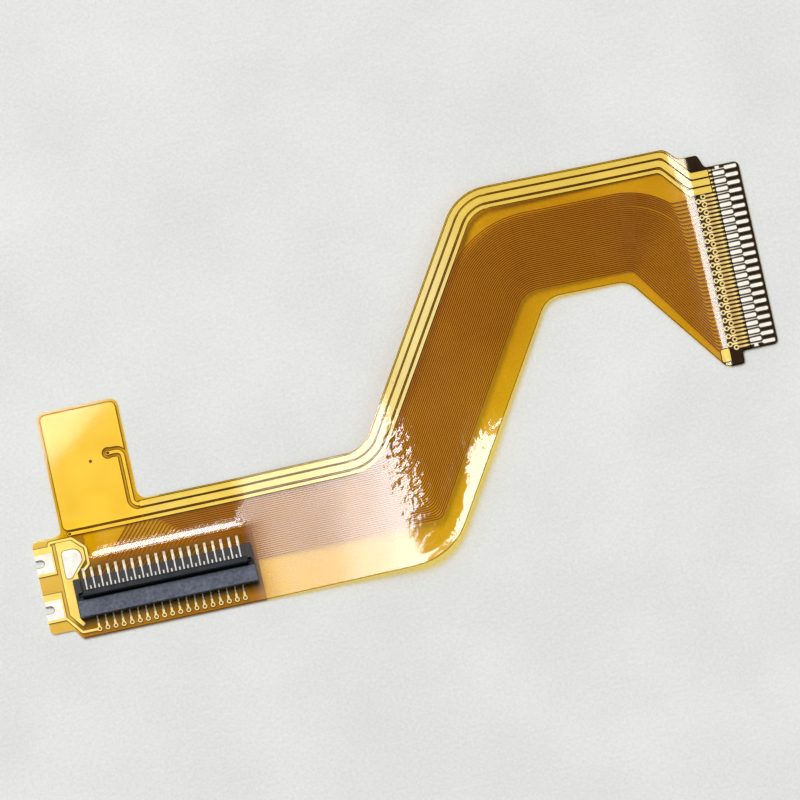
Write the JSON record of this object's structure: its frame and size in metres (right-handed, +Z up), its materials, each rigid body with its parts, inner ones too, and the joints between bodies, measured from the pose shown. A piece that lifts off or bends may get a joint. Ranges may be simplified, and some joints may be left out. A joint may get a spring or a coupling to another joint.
{
  "type": "flat flex cable",
  "caption": "Double-sided flexible printed circuit with a stepped run, a flip-lock connector on one stiffened end and staggered contact fingers on the other.",
  "frame": {"origin": "bottom centre of the cable's box, on the surface that its two stiffeners rest on", "axes": "+X along the connector's row of contacts, towards the tail; +Y across the cable, towards the upper run; +Z up, out of the contact side"},
  "size_m": [0.0562, 0.0264, 0.0021],
  "materials": {
    "base_film": "clear amber polyimide film",
    "cover_film": "glossy clear amber polyimide film",
    "signal_copper": "etched copper under film",
    "wide_copper": "bright copper under film",
    "pad_copper": "tinned copper",
    "pad_finish": "bright plated",
    "gold_pad": "gold plated",
    "barrel": "plated hole wall",
    "amber_stiffener": "amber polyimide sheet",
    "dark_stiffener": "dark brown sheet",
    "housing_grey": "moulded, matt",
    "lever_black": "moulded, satin",
    "contact_metal": "plated spring metal",
    "hold_down_metal": "tinned",
    "solder": "bright solder"
  },
  "bodies": {
    "cable": {"base_film": "base_film", "top_coverlay": "cover_film", "bottom_coverlay": "cover_film", "signal_traces": "signal_copper", "wide_trace_outer": "wide_copper", "ground_plane": "wide_copper", "wide_trace_inner": "wide_copper", "edge_copper_high": "wide_copper", "edge_copper_low": "wide_copper", "strip_copper": "wide_copper", "rear_pads": "pad_copper", "front_pads": "pad_copper", "ground_pad_plating": "pad_finish", "edge_plating_high": "pad_finish", "edge_plating_low": "pad_finish", "tail_fingers_outer": "pad_finish", "tail_fingers_inner": "pad_finish", "locator_pad": "gold_pad", "connector_vias": "barrel", "tail_vias": "barrel", "plane_vias": "barrel", "connector_stiffener": "amber_stiffener", "tail_stiffener": "dark_stiffener", "connector_housing": "housing_grey", "rear_contacts": "contact_metal", "front_contacts": "contact_metal", "hold_down_left": "hold_down_metal", "hold_down_right": "hold_down_metal", "rear_solder": "solder", "front_solder": "solder"},
    "lever": {"lock_bar": "lever_black"}
  },
  "joints": [
    {"name": "lock_lever", "type": "hinge", "parent": "cable", "child": "lever", "pos_m": [-0.01915, -0.01023, 0.00093], "axis": [-1, 0, 0], "range_deg": [0, 90]}
  ]
}
